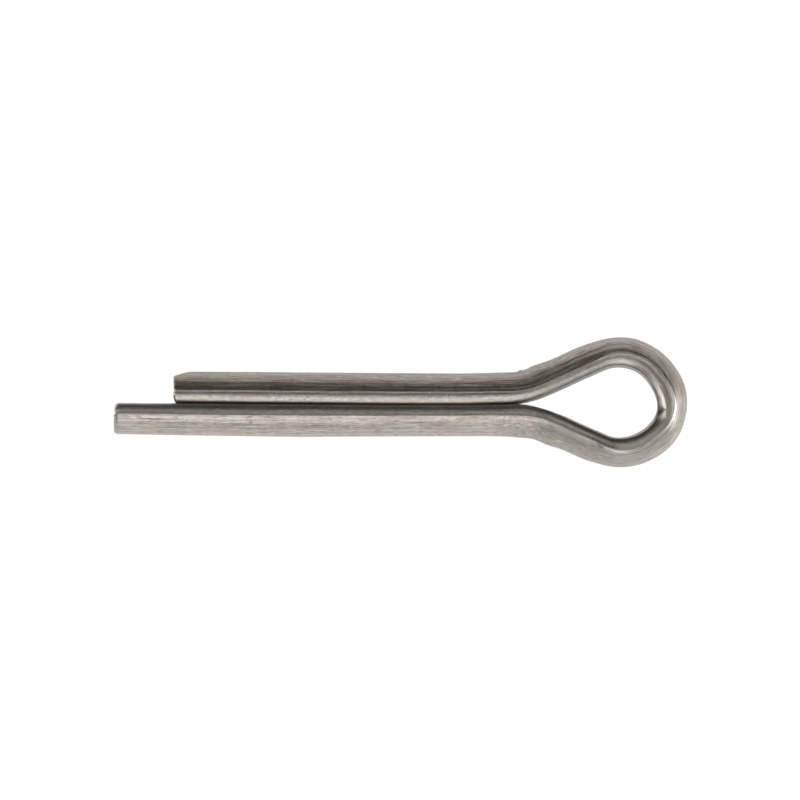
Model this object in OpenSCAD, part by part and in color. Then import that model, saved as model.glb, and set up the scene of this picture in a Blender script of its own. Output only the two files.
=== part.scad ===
// Split cotter pin, bent from one length of half-round steel wire.
//
// The shank lies along X with its axis on the X axis, the eye at +X and the tips at -X.
// The short leg is on the +Y side, the long leg on the -Y side, and the loop lies flat in XY.
// The origin is on the shank's axis, where the legs start to part at the neck.

/* [Hole it fits] */
// diameter of the hole that the pin is made for
hole_d = 4; // [3.8:0.05:4.1]
// nominal length: from the short tip to where the flare fills the mouth of the hole
pin_l = 20; // [12:0.5:60]

/* [Shank] */
// diameter over the round backs of the two closed legs
shank_d = 3.55; // [3.4:0.05:3.7]
// how far the long leg runs past the short one
leg_extension = 3.3; // [2:0.1:4]
// gap left between the flats of the closed legs
leg_gap = 0.08; // [0.04:0.02:0.2]

/* [Wire section] */
// height of the crease above the shank's axis, as a share of the shank's radius
crease_share = 0.375; // [0.35:0.005:0.385]
// radius of the shoulder that leads from the crease down to the flat
shoulder_r = 0.7; // [0.68:0.01:0.78]

/* [Eye] */
// outside diameter of the eye
eye_d = 7.3; // [6.6:0.1:7.6]
// angle at which each leg flares from the shank into the eye, in degrees
flare = 22; // [20:1:28]
// radius of the bend at the neck, along the wire's flat
neck_r = 5.5; // [4.5:0.1:6]

/* [Tips] */
// length of the bevel that leads the short tip into the hole
bevel_l = 0.9; // [0.3:0.1:2]
// depth of that bevel at the very end
bevel_depth = 0.25; // [0.1:0.05:0.5]
// break left by the shear along the outer edge of the long tip
tip_break = 0.1; // [0.06:0.02:0.3]

/* [Hidden] */
$fn = 96;
bend_fn = 180;                              // facets to a full turn, along the bends
wire_depth = (shank_d - leg_gap) / 2;       // one leg, from its flat to its round back
crease_h = crease_share * shank_d / 2;      // the crease, above the shank's axis
crease_w = sqrt(pow(shank_d / 2, 2) - pow(crease_h, 2));     // and out from the middle of the wire
shoulder_h = leg_gap / 2 + shoulder_r;      // centre of the shoulder, above the shank's axis
// half of the flat, to a hundredth: the shoulder is tangent to its end and runs up to the crease
flat_half = round(100 * (crease_w - sqrt(pow(shoulder_r, 2) - pow(shoulder_h - crease_h, 2)))) / 100;
eye_r = eye_d / 2 - wire_depth;             // inside radius of the eye
neck_h = neck_r + leg_gap / 2;              // centre of the neck's bend, above the shank's axis
// this far along the bend, the round back fills the mouth of the hole and the pin stops
seat_x = sqrt(pow(neck_r - wire_depth, 2) - pow(neck_h - hole_d / 2, 2));
short_l = pin_l - seat_x;                   // straight part of the short leg
long_l = short_l + leg_extension;           // straight part of the long leg
// straight ramp from the neck to the eye, of the length that centres the eye on the shank's axis
ramp_l = ((neck_r + eye_r) * cos(flare) - neck_h) / sin(flare);
long_turn = 150;                            // degrees, more than any of the bends is cut to
reach = 2 * (long_l + eye_d);               // longer than the pin, for the cutting planes
steel = [0.66, 0.64, 0.61];

// Section of the wire, with X out from the shank's axis and Y across the pin.
// The round back is part of the shank's circle. On each side it ends at a sharp crease,
// where a rounded shoulder leads down to the flat.
module wire_section() {
    intersection() {
        circle(d = shank_d);
        union() {
            translate([shoulder_h, -shank_d]) square([shank_d, 2 * shank_d]);
            translate([leg_gap / 2, -flat_half]) square([shank_d / 2, 2 * flat_half]);
            for (side = [-1, 1])
                translate([shoulder_h, side * flat_half]) circle(r = shoulder_r);
        }
    }
}

// Straight wire of length l, from the YZ plane towards +X, with its flat facing -Y.
module straight(l) {
    rotate([90, 0, 90]) linear_extrude(height = l) wire_section();
}

// The bend at the neck: wire that leaves the YZ plane towards +X and turns to the left, with
// its flat on the outside of the bend. It turns further than any flare, and is cut to length.
module neck_bend() {
    translate([0, neck_h, 0])
        rotate([0, 0, -90])
            rotate_extrude(angle = long_turn, $fn = bend_fn)
                translate([neck_h, 0]) mirror([1, 0]) wire_section();
}

// The bend round the eye: it turns to the right, with the flat on the inside.
module eye_bend() {
    translate([0, leg_gap / 2 - eye_r, 0])
        rotate([0, 0, 90])
            rotate_extrude(angle = -long_turn, $fn = bend_fn)
                translate([eye_r - leg_gap / 2, 0]) wire_section();
}

// Turns its children about the centre of the neck's bend.
module swing(a) {
    translate([0, neck_h, 0]) rotate([0, 0, a]) translate([0, -neck_h, 0]) children();
}

// Everything beyond the YZ plane, on the +X side.
module beyond() {
    translate([0, -reach, -reach]) cube(2 * reach);
}

// One side of the pin: its leg, neck, ramp and half of the eye, which ends at the XZ plane.
// It is laid out about the middle of the neck's bend, with the leg swung half of the flare
// to one side of it and the ramp half of the flare to the other.
module side(leg_l) {
    intersection() {
        swing(flare / 2) {
            swing(-flare / 2) translate([-leg_l, 0, 0]) straight(leg_l);
            difference() {
                swing(-flare / 2) neck_bend();
                swing(flare / 2) beyond();
            }
            swing(flare / 2) {
                straight(ramp_l);
                translate([ramp_l, 0, 0]) eye_bend();
            }
        }
        rotate([0, 0, 90]) beyond();
    }
}

// The short leg's side, with the tip bevelled on the outside to lead it into the hole.
module short_side() {
    difference() {
        side(short_l);
        translate([-short_l, shank_d / 2 - bevel_depth, 0])
            rotate([0, 0, atan2(bevel_depth, bevel_l)])
                translate([-shank_d, 0, -shank_d]) cube([3 * shank_d, shank_d, 2 * shank_d]);
    }
}

// The long leg's side, sheared square, with its outer edge broken.
module long_side() {
    mirror([0, 1, 0]) difference() {
        side(long_l);
        translate([-long_l, shank_d / 2 - tip_break, 0])
            rotate([0, 0, 45])
                translate([-shank_d, 0, -shank_d]) cube([2 * shank_d, shank_d, 2 * shank_d]);
    }
}

module cotter_pin() color(steel) {
    short_side();
    long_side();
}

cotter_pin();
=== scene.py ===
"""A split cotter pin, lying flat on a pale floor, seen from above under soft studio light."""

import math

import bmesh
import bpy
import numpy as np
from mathutils import Matrix, Vector, noise


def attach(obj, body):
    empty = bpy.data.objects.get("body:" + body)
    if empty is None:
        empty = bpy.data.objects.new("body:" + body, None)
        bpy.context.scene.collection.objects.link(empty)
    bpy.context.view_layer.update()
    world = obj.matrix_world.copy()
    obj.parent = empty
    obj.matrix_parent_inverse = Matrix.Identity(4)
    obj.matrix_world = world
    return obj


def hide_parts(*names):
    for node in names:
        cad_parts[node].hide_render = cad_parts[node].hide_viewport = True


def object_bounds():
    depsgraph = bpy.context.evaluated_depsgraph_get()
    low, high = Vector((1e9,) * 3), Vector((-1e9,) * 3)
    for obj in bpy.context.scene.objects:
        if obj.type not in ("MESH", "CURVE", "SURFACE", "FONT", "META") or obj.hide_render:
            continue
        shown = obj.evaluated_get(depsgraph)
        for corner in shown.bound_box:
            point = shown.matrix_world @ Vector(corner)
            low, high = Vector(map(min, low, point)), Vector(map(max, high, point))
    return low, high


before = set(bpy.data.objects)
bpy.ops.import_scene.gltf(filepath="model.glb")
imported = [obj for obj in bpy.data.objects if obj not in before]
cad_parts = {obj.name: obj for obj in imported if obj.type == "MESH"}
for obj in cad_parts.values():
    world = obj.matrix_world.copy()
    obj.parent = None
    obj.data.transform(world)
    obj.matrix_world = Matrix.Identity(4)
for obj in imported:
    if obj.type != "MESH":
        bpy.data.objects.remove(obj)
cad_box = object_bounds()
mm = 0.001

# --- Camera -------------------------------------------------------------------------------------
# A long lens over the pin, leaning a few degrees towards the long leg's side, so that the pin
# spans most of the picture with its eye on the right.
camera_lean = math.radians(3.0)
picture_width = 44.44 * mm
picture_centre = Vector((-6.133, 0.222, 0)) * mm
nearest_seen, furthest_seen = 0.1, 40  # in reaches from the lens
lens = bpy.data.cameras.new("long_lens")
lens.lens = 900
lens.sensor_width = 36
reach = picture_width * lens.lens / lens.sensor_width
lens.clip_start = reach * nearest_seen
lens.clip_end = reach * furthest_seen
camera = bpy.data.objects.new("camera", lens)
camera_way = Vector((0, -math.sin(camera_lean), math.cos(camera_lean)))
camera.location = picture_centre + reach * camera_way
camera.rotation_euler = (camera_lean, 0, 0)
bpy.context.scene.collection.objects.link(camera)
bpy.context.scene.camera = camera
bpy.context.scene.view_settings.view_transform = "Standard"


# --- Floor --------------------------------------------------------------------------------------
# A matt white sheet under the pin, wide enough to run past every view. What the lens sees of it
# is lifted to paper white, and what the steel sees of it is only the light that falls there.
class Tone:
    """A value on a surface. Arithmetic on it adds the Math nodes that work it out."""

    def __init__(self, tree, socket=None):
        self.tree, self.socket = tree, socket

    def node(self, kind, settings=None, sockets=None, output=0):
        """Adds a node, sets it up, feeds its sockets numbers or tones, and gives one output."""
        made = self.tree.nodes.new(kind)
        for name, value in (settings or {}).items():
            setattr(made, name, value)
        for name, value in (sockets or {}).items():
            if isinstance(value, Tone):
                self.tree.links.new(value.socket, made.inputs[name])
            else:
                made.inputs[name].default_value = value
        return Tone(self.tree, made.outputs[output] if made.outputs else None)

    def math(self, operation, *values):
        return self.node("ShaderNodeMath", {"operation": operation}, dict(enumerate(values)))

    def __add__(self, other):
        return self.math("ADD", self, other)

    def __sub__(self, other):
        return self.math("SUBTRACT", self, other)

    def __rsub__(self, other):
        return self.math("SUBTRACT", other, self)

    def __mul__(self, other):
        return self.math("MULTIPLY", self, other)

    def __truediv__(self, other):
        return self.math("DIVIDE", self, other)

    def __abs__(self):
        return self.math("ABSOLUTE", self)

    __radd__ = __add__
    __rmul__ = __mul__

    def fade(self, start, end, low=0.0, high=1.0):
        """Low before start, high after end, and smooth between them."""
        smooth = {"interpolation_type": "SMOOTHSTEP"}
        ends = {0: self, 1: start, 2: end, 3: low, 4: high}
        return self.node("ShaderNodeMapRange", smooth, ends)

    def band(self, start, full, waning, end):
        """1 from full to waning, 0 before start and after end, and smooth between them."""
        return self.fade(start, full) * self.fade(end, waning)

    def mixed(self, a, b):
        """The colour a where this is 0, and b where it is 1."""
        return self.node("ShaderNodeMix", {"data_type": "RGBA"}, {0: self, 6: a, 7: b}, 2)


def new_material(name):
    material = bpy.data.materials.new(name)
    material.use_nodes = True
    material.node_tree.nodes.clear()
    return material, Tone(material.node_tree)


floor_z = cad_box[0].z - 0.026 * mm  # just under the lip that stands along the wire's crease
floor_half = 3.0  # m
sheet = bmesh.new()
bmesh.ops.create_grid(sheet, x_segments=8, y_segments=8, size=floor_half)
bmesh.ops.translate(sheet, verts=sheet.verts, vec=(0, 0, floor_z))
floor_mesh = bpy.data.meshes.new("floor")
sheet.to_mesh(floor_mesh)
sheet.free()
floor = bpy.data.objects.new("floor", floor_mesh)
bpy.context.scene.collection.objects.link(floor)
paper, paint = new_material("white_paper")
spot = paint.node("ShaderNodeTexCoord", output="Object")
tooth = paint.node("ShaderNodeTexNoise", {}, {"Vector": spot, "Scale": 400.0, "Detail": 3.0})
lit = paint.node(
    "ShaderNodeBsdfPrincipled",
    {},
    {
        "Base Color": tooth.mixed((0.86, 0.86, 0.86, 1), (0.9, 0.9, 0.9, 1)),
        "Roughness": 0.9,
        "Emission Color": (1, 1, 1, 1),
        "Emission Strength": 0.4,
    },
)
white = paint.node("ShaderNodeEmission", {}, {"Color": (1, 1, 1, 1), "Strength": 1.02})
by_lens = paint.node("ShaderNodeLightPath")
sheet_white = paint.node("ShaderNodeMixShader", {}, {0: by_lens, 1: lit, 2: white})
paint.node("ShaderNodeOutputMaterial", {}, {"Surface": sheet_white})
floor_mesh.materials.append(paper)

# --- Light --------------------------------------------------------------------------------------
# A dim room, pale on the long leg's side, with seven soft boxes round the pin: three on the long
# leg's side, which are one high, one low and one weak towards the eye, one low past the eye, two
# over the tips, and a weak one overhead. The boxes light the pin but aren't seen.
studio = bpy.data.worlds.new("studio")
studio.use_nodes = True
studio.node_tree.nodes.clear()
air = Tone(studio.node_tree)
way_out = air.node("ShaderNodeTexCoord", output="Generated")
across_room = air.node("ShaderNodeSeparateXYZ", {}, {0: way_out}, "Y")
walls = across_room.fade(0.0, -0.65, 0.062, 0.36)
in_view = air.node("ShaderNodeLightPath")
warm_white = (1, 0.965, 0.93, 1)
room = air.node(
    "ShaderNodeBackground", {}, {"Color": warm_white, "Strength": walls + in_view * 1.1}
)
air.node("ShaderNodeOutputWorld", {}, {"Surface": room})
bpy.context.scene.world = studio
box_far = 0.6  # m
# name, turn from +X and height above the floor in degrees, width and height in metres, brightness
for name, turn, height, wide, high, bright in (
    ("box_long_leg_side", -90, 45, 0.32, 0.50, 1.06),
    ("box_long_leg_low", -90, 11, 0.36, 0.24, 0.56),
    ("box_between", -48, 34, 0.34, 0.36, 0.32),
    ("box_past_eye", -8, 11, 0.42, 0.24, 3.6),
    ("box_over_tips", 185, 42, 0.26, 0.16, 4.3),
    ("box_above_tips", 186, 53, 0.24, 0.12, 1.0),
    ("box_overhead", 90, 80, 0.7, 0.62, 0.3),
):
    lamp = bpy.data.lights.new(name, "AREA")
    lamp.shape, lamp.size, lamp.size_y = "RECTANGLE", wide, high
    lamp.energy = bright * math.pi * wide * high
    placed = bpy.data.objects.new(name, lamp)
    around, up = math.radians(turn), math.radians(height)
    level = math.cos(up)
    way = Vector((math.cos(around) * level, math.sin(around) * level, math.sin(up)))
    placed.location = way * box_far
    placed.rotation_euler = way.to_track_quat("Z", "Y").to_euler()
    placed.visible_camera = False
    bpy.context.scene.collection.objects.link(placed)

# --- Wire ---------------------------------------------------------------------------------------
# One length of half-round steel wire, drawn through a die, which leaves long scratches on its
# round back and a rolled edge each side of its flat. It is cut by shears, folded flat to flat
# round a mandrel for the eye, and pinched at the neck, so its section swells and thins a little.
back_r = 1.775  # mm, from the shank's axis, as all the wire's sizes are in mm
flat_gap = 0.04  # from the axis to the flat
shoulder_r, corner_r = 0.75, 0.136  # the rolled edge is a broad round and a tight one
corner_tilt = math.radians(45)  # from the flat's square, where one meets the other
crest_up, crest_w = 0.57, 1.646  # the rolled edge's highest point
crease_up = 0.635  # where the rolled edge meets the round back
middle_up = 0.8  # half way through the wire, from its flat
short_l, long_l = 18.718, 22.018  # legs, to where their necks begin
neck_l, ramp_l, eye_l = 2.112, 3.564, 7.487
flare = 22.0  # degrees, the ramps' slope
wire_l = short_l + long_l + 2 * (neck_l + ramp_l) + eye_l

# The section is drawn from one corner of the flat, round the back and home along the flat. X is
# the length, Y is away from the flat, and Z is across.
bar = bmesh.new()
run = bar.verts.layers.float.new("run")
girth = bar.verts.layers.float.new("girth")
cut = bar.verts.layers.float.new("cut")


def swung(corner, centre, turn, steps):
    """Carries the section's line on round a centre from its last corner, and gives the new last."""
    made = bmesh.ops.spin(
        bar,
        geom=[corner],
        cent=(0, *centre),
        axis=(1, 0, 0),
        angle=turn,
        steps=steps,
        use_duplicate=False,
    )
    return next(v for v in made["geom_last"] if isinstance(v, bmesh.types.BMVert))


crease_w = math.sqrt(back_r**2 - (crease_up + flat_gap) ** 2)
back_turn = math.atan2(crease_w, crease_up + flat_gap)
shoulder_w = crest_w - shoulder_r
crease_lean = math.atan2(crease_up - crest_up, crease_w - shoulder_w)
flat_half = shoulder_w + (shoulder_r - corner_r) * math.cos(corner_tilt)
corner_turn, shoulder_turn = math.pi / 2 - corner_tilt, corner_tilt + crease_lean
# Corners are closer beside the crease, over these shares of the shoulder's and the back's turn.
near_shoulder, near_back = 0.15, 0.08
corner = bar.verts.new((0, 0, flat_half))
for centre, turn, steps in (
    ((corner_r, flat_half), corner_turn, 9),
    ((crest_up, shoulder_w), shoulder_turn * (1 - near_shoulder), 10),
    ((crest_up, shoulder_w), shoulder_turn * near_shoulder, 4),
    ((-flat_gap, 0), back_turn * near_back, 7),
    ((-flat_gap, 0), back_turn * (2 - 2 * near_back), 88),
    ((-flat_gap, 0), back_turn * near_back, 7),
    ((crest_up, -shoulder_w), shoulder_turn * near_shoulder, 4),
    ((crest_up, -shoulder_w), shoulder_turn * (1 - near_shoulder), 10),
    ((corner_r, -flat_half), corner_turn, 9),
):
    corner = swung(corner, centre, -turn, steps)
across_flat = 14
bmesh.ops.spin(
    bar,
    geom=[corner],
    cent=(0, 0, 0),
    axis=(1, 0, 0),
    dvec=(0, 0, 2 * flat_half / across_flat),
    angle=0,
    steps=across_flat - 1,
    use_duplicate=False,
)
outline = list(bar.verts)
bar.edges.new((outline[-1], outline[0]))

# How far round the section each corner is, from the middle of the flat.
walked = flat_half
for corner, following in zip(outline, outline[1:] + outline[:1]):
    corner[girth] = walked
    walked += (following.co - corner.co).length
whole_girth = walked - flat_half
for corner in outline:
    corner[girth] %= whole_girth


def drawn(ring, length, steps):
    """Draws the wire on from a ring of its section, and gives the new last ring."""
    made = bmesh.ops.spin(
        bar,
        geom=ring,
        cent=(0, 0, 0),
        axis=(1, 0, 0),
        dvec=(length / steps, 0, 0),
        angle=0,
        steps=steps,
        use_duplicate=False,
    )
    return made["geom_last"]


def sheared(ring):
    """Closes an end by shrinking its ring to the middle, where the shears went through."""
    size = 1.0
    for share in (0.985, 0.95, 0.88, 0.78, 0.66, 0.52, 0.37, 0.22, 0.1):
        grown = bmesh.ops.extrude_edge_only(bar, edges=ring)["geom"]
        ends = [v for v in grown if isinstance(v, bmesh.types.BMVert)]
        ring = [e for e in grown if isinstance(e, bmesh.types.BMEdge) and e.is_boundary]
        middle = Matrix.Translation((-ends[0].co.x, -middle_up, 0))
        bmesh.ops.scale(bar, verts=ends, vec=(1, share / size, share / size), space=middle)
        size = share
        for v in ends:
            v[cut] = 1.0
    bmesh.ops.edgeloop_fill(bar, edges=ring)


tip_l, tip_steps, wire_steps = 0.24, 8, 430
ring = drawn(list(bar.verts) + list(bar.edges), tip_l, tip_steps)
ring = drawn(ring, wire_l - 2 * tip_l, wire_steps)
ring = drawn(ring, tip_l, tip_steps)
open_ends = [e for e in bar.edges if e.is_boundary]
for end in (0, wire_l):
    sheared([e for e in open_ends if abs(e.verts[0].co.x - end) < tip_l / 2])
for v in bar.verts:
    v[run] = v.co.x
bmesh.ops.recalc_face_normals(bar, faces=bar.faces)

# How the section has been moved by the tools, along its length from the short tip. Each row is
# the run, then the flat's, the crease's and the back's distance from the flat's true line, how
# hard the rolled edge is pinched towards the flat, and how high a lip stands along the crease.
stations = np.array(
    (
        (0.0, 0.015, 0.650, 1.755, 1.20, 0.011),
        (4.0, -0.030, 0.634, 1.738, 1.20, 0.011),
        (8.0, -0.070, 0.590, 1.705, 1.20, 0.010),
        (12.0, -0.110, 0.560, 1.676, 1.20, 0.009),
        (16.0, -0.120, 0.550, 1.650, 1.15, 0.009),
        (18.7, -0.045, 0.580, 1.718, 1.05, 0.008),
        (19.3, 0.005, 0.595, 1.738, 1.05, 0.008),
        (20.2, 0.050, 0.605, 1.802, 1.12, 0.007),
        (20.75, 0.060, 0.630, 1.895, 1.15, 0.006),
        (21.05, 0.062, 0.645, 1.825, 1.15, 0.006),
        (22.0, 0.097, 0.670, 1.808, 1.15, 0.006),
        (23.0, 0.150, 0.720, 1.870, 1.15, 0.007),
        (24.0, 0.177, 0.755, 1.868, 1.20, 0.010),
        (24.5, 0.195, 0.785, 1.804, 1.25, 0.014),
        (25.0, 0.184, 0.840, 1.784, 1.20, 0.019),
        (25.5, 0.166, 0.845, 1.812, 1.10, 0.019),
        (26.0, 0.145, 0.850, 1.770, 1.00, 0.020),
        (27.0, 0.082, 0.845, 1.766, 0.88, 0.018),
        (27.5, 0.100, 0.950, 1.824, 0.82, 0.019),
        (28.0, 0.174, 1.085, 1.830, 0.80, 0.028),
        (28.5, 0.180, 1.110, 1.797, 0.82, 0.030),
        (29.0, 0.120, 1.045, 1.798, 0.82, 0.024),
        (29.5, 0.062, 0.810, 1.750, 1.00, 0.008),
        (30.0, 0.034, 0.755, 1.654, 1.15, 0.009),
        (30.5, 0.022, 0.790, 1.620, 1.30, 0.015),
        (31.2, 0.046, 0.780, 1.593, 1.40, 0.019),
        (31.7, 0.052, 0.680, 1.590, 1.45, 0.018),
        (32.3, 0.030, 0.625, 1.686, 1.40, 0.018),
        (33.0, 0.020, 0.605, 1.680, 1.45, 0.018),
        (34.0, -0.020, 0.565, 1.630, 1.45, 0.018),
        (34.7, -0.058, 0.535, 1.716, 1.42, 0.017),
        (35.35, -0.055, 0.535, 1.684, 1.37, 0.015),
        (36.0, 0.004, 0.590, 1.712, 1.30, 0.012),
        (36.4, -0.004, 0.620, 1.782, 1.26, 0.012),
        (37.0, 0.012, 0.662, 1.802, 1.20, 0.011),
        (38.0, 0.045, 0.680, 1.770, 1.05, 0.011),
        (38.6, 0.052, 0.660, 1.748, 1.03, 0.011),
        (40.0, 0.055, 0.680, 1.752, 1.00, 0.011),
        (44.0, 0.060, 0.685, 1.770, 1.00, 0.011),
        (47.0, 0.042, 0.680, 1.778, 1.00, 0.011),
        (49.0, 0.031, 0.677, 1.800, 1.00, 0.011),
        (52.0, 0.012, 0.657, 1.760, 1.00, 0.011),
        (54.0, 0.0, 0.640, 1.731, 1.00, 0.012),
        (57.0, -0.015, 0.590, 1.682, 1.00, 0.014),
        (59.6, -0.035, 0.555, 1.630, 1.00, 0.016),
    )
)
# How far each sheared end, the short tip's and then the long one's, stands back from square, by
# distance from the flat.
shears = (
    (
        (0.0, 0.14), (0.10, 0.09), (0.22, 0.02), (0.42, 0.00),
        (0.58, 0.04), (0.66, 0.10), (0.76, 0.03), (1.8, 0.0),
    ),
    (
        (-0.1, 0.15), (0.0, 0.12), (0.12, 0.07), (0.30, 0.03),
        (0.50, 0.05), (0.56, 0.07), (0.64, 0.01), (1.8, 0.0),
    ),
)


def at(place, column):
    """A station's value at a place along the wire, eased over a short way on each side."""
    eased = 0.25
    nearby = place + np.linspace(-eased, eased, 7)
    return float(np.interp(nearby, stations[:, 0], stations[:, column]).mean())


def bent(place):
    """Turns and moves a slice of the straight bar to where it lies in the folded pin."""
    x, y, heading = -short_l, flat_gap, 0.0
    for length, turn in (
        (short_l, 0),
        (neck_l, flare),
        (ramp_l, 0),
        (eye_l, -180 - 2 * flare),
        (ramp_l, 0),
        (neck_l, flare),
        (long_l, 0),
    ):
        gone = min(max(place, 0), length)
        if turn:
            swing = math.radians(turn) * gone / length
            radius = length / math.radians(turn)
            x += radius * (math.sin(heading + swing) - math.sin(heading))
            y -= radius * (math.cos(heading + swing) - math.cos(heading))
            heading += swing
        else:
            x += gone * math.cos(heading)
            y += gone * math.sin(heading)
        place -= length
        if place <= 0:
            break
    return Matrix.Translation((x, y, 0)) @ Matrix.Rotation(heading, 4, "Z")


def grain_at(place, walk, seed):
    """Smooth noise over the wire's surface, -1 to 1."""
    return noise.noise(Vector((place, walk, seed)))


def swell(value, middle, half, power=2):
    """1 at the middle and dying away over half on each side, with a flatter top for more power."""
    return math.exp(-(((value - middle) / half) ** power))


def ramped(value):
    """The value, held between 0 and 1."""
    return min(max(value, 0), 1)


burr_at = 19.52  # run along the wire from the short tip, as every place below is
nick_at, nick_slant = 28.42, 0.07


def relief(place, walk, lip):
    """How proud of its drawn shape the surface stands, in millimetres."""
    from_back = abs(walk - whole_girth / 2)
    past_crease = half_back - from_back
    # The lip along the crease, and the groove beside it on the rolled edge.
    lip_w = 0.03 + 1.2 * lip
    proud = lip * swell(past_crease, 0, lip_w)
    proud -= 0.6 * lip * swell(past_crease / lip_w, -2.6, 1.2)
    # What the die left on the round back, less where the jaws pressed it smooth.
    on_back = ramped(past_crease / 0.1)
    pressed = swell(place, 33.6, 1.7, 4)
    die_marks = 0.0120 * grain_at(place * 0.035, walk * 4.2, 1.5)
    die_marks += 0.0045 * grain_at(place * 0.30, walk * 7.5, 8.5)
    proud += on_back * (1 - 0.7 * pressed) * die_marks
    # Jaw marks round the neck, and the burr that the jaws raised.
    jaws = swell(place, 21.6, 2.0, 4) + 0.6 * swell(place, 36.3, 0.9, 4)
    bites = grain_at(place * 2.2, walk * 2.4, 4.5)
    proud += 0.013 * (0.3 + 0.7 * on_back) * jaws * bites
    proud += 0.075 * swell(place, burr_at, 0.13) * swell(from_back, 0, 0.5, 4)
    # A fold along the rolled edge where the eye turns, ending in a wedge-shaped nick.
    if abs(place - 28.3) < 1.6 and walk < 2.2:
        fold_walk = 1.58 + 0.20 * ramped((place - 27.4) / 1.2)
        grown = ramped((place - 26.8) / 0.9) * ramped((28.75 - place) / 0.2)
        fold_w = 0.24 if walk < fold_walk else 0.10
        proud += 0.034 * grown * swell(walk, fold_walk, fold_w)
        depth = (1.92 - walk) / 0.50
        side = (place - nick_at - nick_slant * depth) / (0.04 + 0.22 * max(depth, 0))
        proud -= 0.07 * ramped(depth) * max(0, 1 - abs(side))
        proud += 0.022 * swell(side, 1.25, 0.3) * swell(depth, 0.25, 0.35)
    return proud


# Where the eye turns back the wire rolled a little in the jaws, so that its flat leans: run, then
# how far the flat's top edge and its bottom edge move towards the round back.
rolls = np.array(
    (
        (28.5, 0.0, 0.0),
        (29.0, 0.16, -0.06),
        (30.0, 0.12, -0.15),
        (31.0, 0.06, -0.18),
        (34.5, 0.05, -0.18),
        (36.2, 0.0, 0.0),
    )
)

bar.normal_update()
half_back = back_r * back_turn
short_rim_r, long_rim_r = 0.13, 0.26  # each tip's edge, worn round
worn_l = 0.7  # how far along the shears' unevenness reaches
mitre_l, mitre_soft = 1.3, 0.0006  # the cut off the short tip's back, and its edge in mm squared
cut_half = 1.6  # half the cut's width
slices = {}
for v in bar.verts:
    slices.setdefault(round(v[run], 5), []).append(v)
for place, verts in slices.items():
    flat, crease, back, pinch, lip = (at(place, column) for column in range(1, 6))
    roll_top = float(np.interp(place, rolls[:, 0], rolls[:, 1]))
    roll_low = float(np.interp(place, rolls[:, 0], rolls[:, 2]))
    from_end = min(place, wire_l - place)
    at_short = place < wire_l / 2
    shear_up, shear_back = zip(*shears[0 if at_short else 1])
    rim_r = short_rim_r if at_short else long_rim_r
    inset = rim_r - math.sqrt(max(0, rim_r**2 - max(0, rim_r - from_end) ** 2))
    nearness = max(0, 1 - from_end / worn_l) ** 2
    fold = bent(place)
    for v in verts:
        up, across = v.co.y, v.co.z
        if up <= crease_up:
            to_top = 0.5 + 0.5 * across / crest_w
            rolled = roll_low + (roll_top - roll_low) * to_top
            up = flat + rolled + max(up / crease_up, 0) ** pinch * (crease - flat - rolled)
        else:
            up = crease + (up - crease_up) / (back_r - flat_gap - crease_up) * (back - crease)
        if not v[cut]:
            stands = relief(place, v[girth], lip)
            up += stands * v.normal.y
            across += stands * v.normal.z
        if place < mitre_l:  # the cut's line is lowest at the tip and rises along the wire
            over = up - 1.455 - 0.40 * place + 0.07 * place**2
            up -= 0.5 * (over + math.sqrt(over**2 + mitre_soft))
        up -= 0.45 * inset * (up - middle_up) / middle_up
        across -= inset * across / cut_half
        back_off = nearness * float(np.interp(up, shear_up, shear_back))
        if v[cut]:
            from_edge = min(1, (cut_half - abs(across)) / 0.3)
            back_off += 0.02 * grain_at(up * 3.0, across * 1.2, 6.5) * from_edge
        v.co = fold @ Vector((back_off if at_short else -back_off, up, across))

bmesh.ops.scale(bar, verts=bar.verts, vec=(mm, mm, mm))
bar.normal_update()

pin_mesh = bpy.data.meshes.new("split_pin")
wrap = bar.loops.layers.uv.new("drawn")
for face in bar.faces:
    walks = [loop.vert[girth] for loop in face.loops]
    over = max(walks) - min(walks) > whole_girth / 2
    for loop, walk in zip(face.loops, walks):
        if over and walk < whole_girth / 2:
            walk += whole_girth
        loop[wrap].uv = (loop.vert[run], walk)
    face.smooth = True
bar.to_mesh(pin_mesh)
bar.free()
pin = bpy.data.objects.new("split_pin", pin_mesh)
bpy.context.scene.collection.objects.link(pin)

steel, paint = new_material("drawn_steel")
place_on = paint.node("ShaderNodeUVMap", {"uv_map": "drawn"})
along = place_on.node("ShaderNodeSeparateXYZ", {}, {0: place_on}, "X")
round_it = place_on.node("ShaderNodeSeparateXYZ", {}, {0: place_on}, "Y")
edge_walk = abs(round_it - whole_girth / 2)  # 0 at the middle of the back
on_cut = paint.node("ShaderNodeAttribute", {"attribute_name": "cut"}, output="Fac")
on_back = edge_walk.fade(half_back + 0.03, half_back - 0.03) * (1 - on_cut)
on_flat = edge_walk.fade(2.80, 2.87)


def patch(start, end, near, far, soft=0.5):
    """1 between two runs along the wire and two walks from the middle of its back."""
    lengthways = along.band(start - soft, start + soft, end - soft, end + soft)
    return lengthways * edge_walk.band(near - 0.15, near + 0.15, far - 0.15, far + 0.15)


def scratches(along_scale, round_scale, seed, detail=2.0):
    """Noise stretched along the wire, 0 to 1."""
    stretched = {0: along * along_scale, 1: round_it * round_scale, 2: seed}
    vector = paint.node("ShaderNodeCombineXYZ", {}, stretched)
    return paint.node("ShaderNodeTexNoise", {}, {"Vector": vector, "Scale": 1.0, "Detail": detail})


def coated(colour, *coats):
    """Lays coats over a colour one by one, each as thick as its share says."""
    for share, coat in coats:
        colour = share.mixed(colour, (*coat, 1))
    return colour


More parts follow.
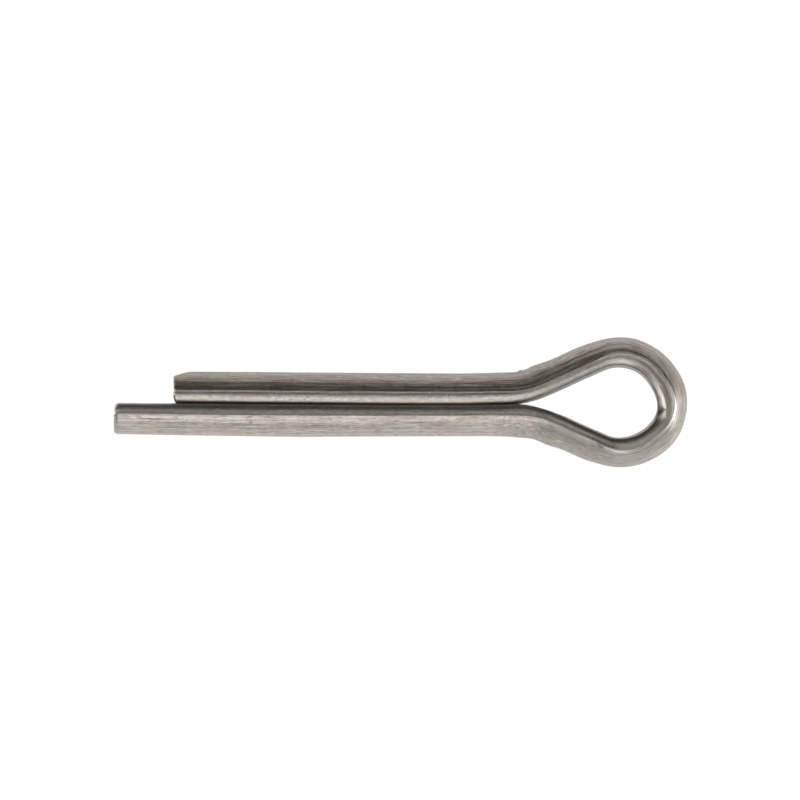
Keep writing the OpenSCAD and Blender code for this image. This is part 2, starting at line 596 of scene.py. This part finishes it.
# Marks left by the die, the rolls and the years: how fine along the wire, how fine round it, and
# a number of its own for each.
die_lines = scratches(0.05, 5.5, 3.0)
streaks = scratches(0.4, 10.0, 7.0)
ticks = scratches(2.2, 13.0, 11.0)
flecks = scratches(2.0, 11.0, 17.0)
blotches = scratches(0.6, 2.2, 23.0)
olive = scratches(0.45, 1.8, 31.0)
mottle = scratches(3.2, 7.0, 37.0, 3.0)
brown_streaks = scratches(1.3, 6.0, 53.0)
dirt = scratches(1.2, 2.0, 61.0, 3.0).fade(0.3, 0.7)
speckle = scratches(7.0, 9.0, 67.0, 2.0)
bright_spots = scratches(6.0, 8.0, 43.0, 1.0).fade(0.56, 0.70)
dark_spots = scratches(5.0, 8.0, 47.0, 1.0).fade(0.56, 0.70)
solid_place = paint.node("ShaderNodeTexCoord", output="Object")
grain = paint.node(
    "ShaderNodeTexNoise", {}, {"Vector": solid_place, "Scale": 9000.0, "Detail": 4.0}
)

# Where each stretch of the wire is, by run from the short tip: the legs' touching flats, the eye
# with its far end, and the leg that ends at that tip.
legs_touch = along.fade(19.9, 19.0) + along.band(36.2, 37.0, 56.1, 56.6)
in_eye = along.band(18.6, 20.5, 35.5, 37.0)
eye_end = along.band(26.5, 28.0, 30.0, 31.5)
short_leg = along.fade(28.2, 26.5)
upper_side = round_it.fade(whole_girth / 2, whole_girth / 2 - 0.1)

# On the round back: rubbed lines, where the jaws pressed and scuffed it, and where the bending of
# the eye dulled or brightened it, with a painted highlight near the crease and painted shade where
# it turns.
rubbed_line = patch(-2.0, 17.0, 1.62, 1.76)
short_tip = along.fade(4.5, 0.6)
neck_back = patch(36.0, 38.4, 0.0, 1.9, 0.4)
pressed = along.band(29.2, 31.4, 35.7, 36.05) * edge_walk.fade(2.0, 1.75)
eye_crown = along.band(19.2, 21.0, 26.5, 28.0) * edge_walk.fade(1.4, 0.7)
eye_line = along.band(22.0, 23.5, 26.5, 27.5) * edge_walk.band(1.45, 1.6, 1.8, 1.95)
# Painted highlight on the back near the crease, at the eye's end.
eye_back_highlight = along.band(24.0, 24.8, 27.6, 28.0) * edge_walk.band(1.62, 1.74, 2.0, 2.08)
eye_back_highlight = eye_back_highlight * (0.72 + along.fade(26.6, 27.3) * 0.25)
# Painted shade on the middle of the back where the eye turns.
eye_turn_shade = along.band(26.4, 27.2, 27.7, 28.1) * edge_walk.fade(1.68, 1.52)
end_band = along.fade(wire_l - 0.28, wire_l - 0.16) * on_back
scuffed = patch(36.2, 38.4, 1.45, 2.15)
scuffed = scuffed + (patch(5.0, 9.0, 2.15, 2.6) + patch(13.4, 15.6, 2.05, 2.45)) * 0.7

# Along the crease: a painted highlight, and a darker line in it, unbroken or in dashes.
# Painted highlight along the crease.
crease_highlight = along.band(27.2, 27.9, 28.8, 29.5)
crease_highlight = crease_highlight + along.band(30.6, 31.2, 31.5, 32.0) * 0.6
crease_highlight = crease_highlight + along.band(32.0, 32.6, 35.2, 36.0) * 0.35
crease_highlight = crease_highlight * edge_walk.band(1.88, 2.02, 2.12, 2.17)
# Darker along the crease, unbroken or in dashes.
seam = along.fade(36.4, 35.4) + along.fade(33.6, 32.8)
seam = along.fade(21.5, 18.5) + along.fade(31.0, 31.4) * seam * 0.5
seam = seam * edge_walk.band(2.13, 2.19, 2.23, 2.29) * streaks.fade(0.3, 0.55)
dashes = along.band(31.2, 31.5, 32.6, 33.0) * edge_walk.band(2.12, 2.16, 2.21, 2.26)
dashes = dashes * scratches(5.0, 6.0, 59.0, 1.0).fade(0.48, 0.56)

# On the rolled edge and its tight corner: painted highlights and shade, and the nick with painted
# shade inside and a painted highlight on its rim.
# Painted highlight on the rolled edge at the eye.
eye_shoulder_highlight = along.band(28.9, 29.6, 31.0, 31.6) * edge_walk.band(2.06, 2.16, 2.50, 2.64)
# Painted highlight on the lower ramp's rolled edge.
ramp_highlight = along.band(32.2, 32.8, 34.9, 35.4) * edge_walk.band(2.15, 2.20, 2.31, 2.40)
rolled_shadow = along.band(25.0, 26.0, 27.6, 28.4) * edge_walk.band(2.22, 2.32, 2.38, 2.48)
# Painted highlight along the flat's tight corner.
corner_highlight = along.band(19.0, 20.5, 27.0, 28.0) * edge_walk.band(2.60, 2.70, 2.80, 2.86)
corner_highlight = corner_highlight * (1 - along.band(24.2, 24.8, 26.3, 27.0))
# Painted shade along the flat's tight corner.
corner_shade = along.band(23.6, 24.6, 26.2, 26.8) * edge_walk.band(2.70, 2.77, 2.85, 2.90)
nick_deep = (edge_walk - 2.27) / 0.5
nick_side = (along - nick_at - nick_deep * nick_slant) / (nick_deep * 0.36 - 0.10)
# Painted shade inside the nick.
nick_shade = abs(nick_side).fade(1.05, 0.75) * nick_deep.fade(0.36, 0.44) * upper_side
# Painted highlight on the nick's rim.
nick_rim_highlight = nick_side.band(1.0, 1.12, 1.4, 1.7) * nick_deep.band(0.36, 0.44, 0.66, 0.80) * upper_side

# On the flat: old dirt and painted shade, less on the floor of the eye, and packed brown dirt with
# painted shade where the legs touch.
eye_floor = along.band(29.0, 30.2, 35.2, 36.2)
# Dirt and painted shade on the flat.
flat_dirt_and_shade = on_flat * (0.55 + legs_touch * 0.15 - eye_floor * 0.15) * (0.7 + dirt * 0.3)
# Packed dirt and painted shade in the gap between the legs.
gap_dirt_and_shade = edge_walk.fade(2.62, 2.80) * legs_touch

worn = (die_lines * 0.5 + streaks * 0.5).fade(0.36, 0.64)
long_leg_steel = worn.mixed((0.338, 0.308, 0.284, 1), (0.672, 0.640, 0.606, 1))
short_leg_steel = worn.mixed((0.29, 0.245, 0.212, 1), (0.60, 0.54, 0.486, 1))
back_colour = coated(
    (short_leg * 0.8).mixed(long_leg_steel, short_leg_steel),
    (rubbed_line * 0.45 + eye_line * 0.25, (0.78, 0.73, 0.68)),
    (eye_back_highlight, (0.86, 0.785, 0.72)),
    (eye_turn_shade * 0.5, (0.28, 0.25, 0.225)),
    ((eye_crown + neck_back) * 0.45, (0.395, 0.368, 0.342)),
    (short_tip * 0.55, (0.27, 0.235, 0.205)),
    (pressed * 0.75, (0.398, 0.381, 0.365)),
    (eye_crown * speckle.fade(0.50, 0.64) * 0.35, (0.20, 0.17, 0.145)),
    (eye_crown * speckle.fade(0.48, 0.34) * 0.35, (0.78, 0.72, 0.67)),
)
rolled = (streaks * 0.5 + mottle * 0.5).fade(0.36, 0.64)
rolled_colour = rolled.mixed((0.40, 0.371, 0.345, 1), (0.60, 0.568, 0.537, 1))
brown_share = on_back * (0.6 + in_eye * 0.2 - pressed * 0.4)
colour = coated(
    on_back.mixed(rolled_colour, back_colour),
    (eye_shoulder_highlight * 0.6, (0.80, 0.765, 0.73)),
    (blotches.fade(0.50, 0.72) * 0.7, (0.52, 0.449, 0.395)),
    (olive.fade(0.52, 0.70) * 0.7, (0.505, 0.494, 0.413)),
    (brown_streaks.fade(0.52, 0.68) * brown_share, (0.34, 0.272, 0.232)),
    (ticks.fade(0.57, 0.70) * on_back * 0.75, (0.19, 0.16, 0.135)),
    (flecks.fade(0.58, 0.72) * 0.6, (0.86, 0.80, 0.75)),
    (scuffed * dark_spots * 0.45, (0.24, 0.205, 0.18)),
    (scuffed * bright_spots * 0.6, (0.88, 0.83, 0.79)),
    (ramp_highlight * 0.45, (0.80, 0.765, 0.73)),
    (corner_shade * 0.45, (0.22, 0.19, 0.165)),
    (nick_rim_highlight * 0.65, (0.92, 0.88, 0.84)),
    (nick_shade * 0.75, (0.205, 0.16, 0.132)),
    (end_band * 0.5, (0.42, 0.395, 0.37)),
    (seam * 0.8, (0.18, 0.15, 0.13)),
    (rolled_shadow * 0.5, (0.22, 0.18, 0.155)),
    (dashes * 0.7, (0.13, 0.10, 0.085)),
    (crease_highlight * 0.75, (0.95, 0.92, 0.88)),
    (flat_dirt_and_shade, (0.22, 0.185, 0.15)),
    (corner_highlight * 0.5, (0.85, 0.82, 0.79)),
    (gap_dirt_and_shade * (0.8 + dirt * 0.15), (0.12, 0.070, 0.047)),
)

# The sheared ends: fine marks in the direction that the shears went.
on_face = solid_place.node("ShaderNodeSeparateXYZ", {}, {0: solid_place}, "Z") * 7000.0
down_face = solid_place.node("ShaderNodeSeparateXYZ", {}, {0: solid_place}, "Y") * 900.0
shear_marks = paint.node("ShaderNodeCombineXYZ", {}, {0: down_face, 1: on_face})
shear_marks = paint.node(
    "ShaderNodeTexNoise", {}, {"Vector": shear_marks, "Scale": 1.0, "Detail": 3.0}
)
cut_colour = shear_marks.fade(0.3, 0.7).mixed((0.40, 0.365, 0.335, 1), (0.66, 0.62, 0.58, 1))
colour = on_cut.mixed(colour, cut_colour)

roughness = 0.29 + on_back * 0.02 + streaks * 0.1 + on_cut * 0.1 + pressed * 0.08

# How high the fine marks stand, in parts of bump_high: the drawn lines and the pits on the back, a
# fine mottle and the grain all round, and the shears' marks on the ends.
bump_high = 0.006 * mm
lines = (streaks * 2.3 + die_lines * 2.6) * (1 - in_eye * 0.3 - eye_end * 0.25)
lines = lines * (1 - pressed * 0.7)
mottled = mottle * (0.8 + in_eye * 1.0 + pressed * 0.4) + streaks * 0.4
height = on_back * (lines + ticks * -1.2) + grain * 0.3 + on_cut * shear_marks * 2.0
height = height + (1 - on_cut) * mottled
bump = paint.node(
    "ShaderNodeBump", {}, {"Strength": 1.0, "Distance": bump_high, "Height": height}
)
metal = paint.node(
    "ShaderNodeBsdfPrincipled",
    {},
    {
        "Base Color": colour,
        "Metallic": 1 - gap_dirt_and_shade * 0.8,  # the packed dirt isn't metal
        "Roughness": roughness,
        "Normal": bump,
    },
)
paint.node("ShaderNodeOutputMaterial", {}, {"Surface": metal})
pin_mesh.materials.append(steel)

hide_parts("cotter_pin")
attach(pin, "root")
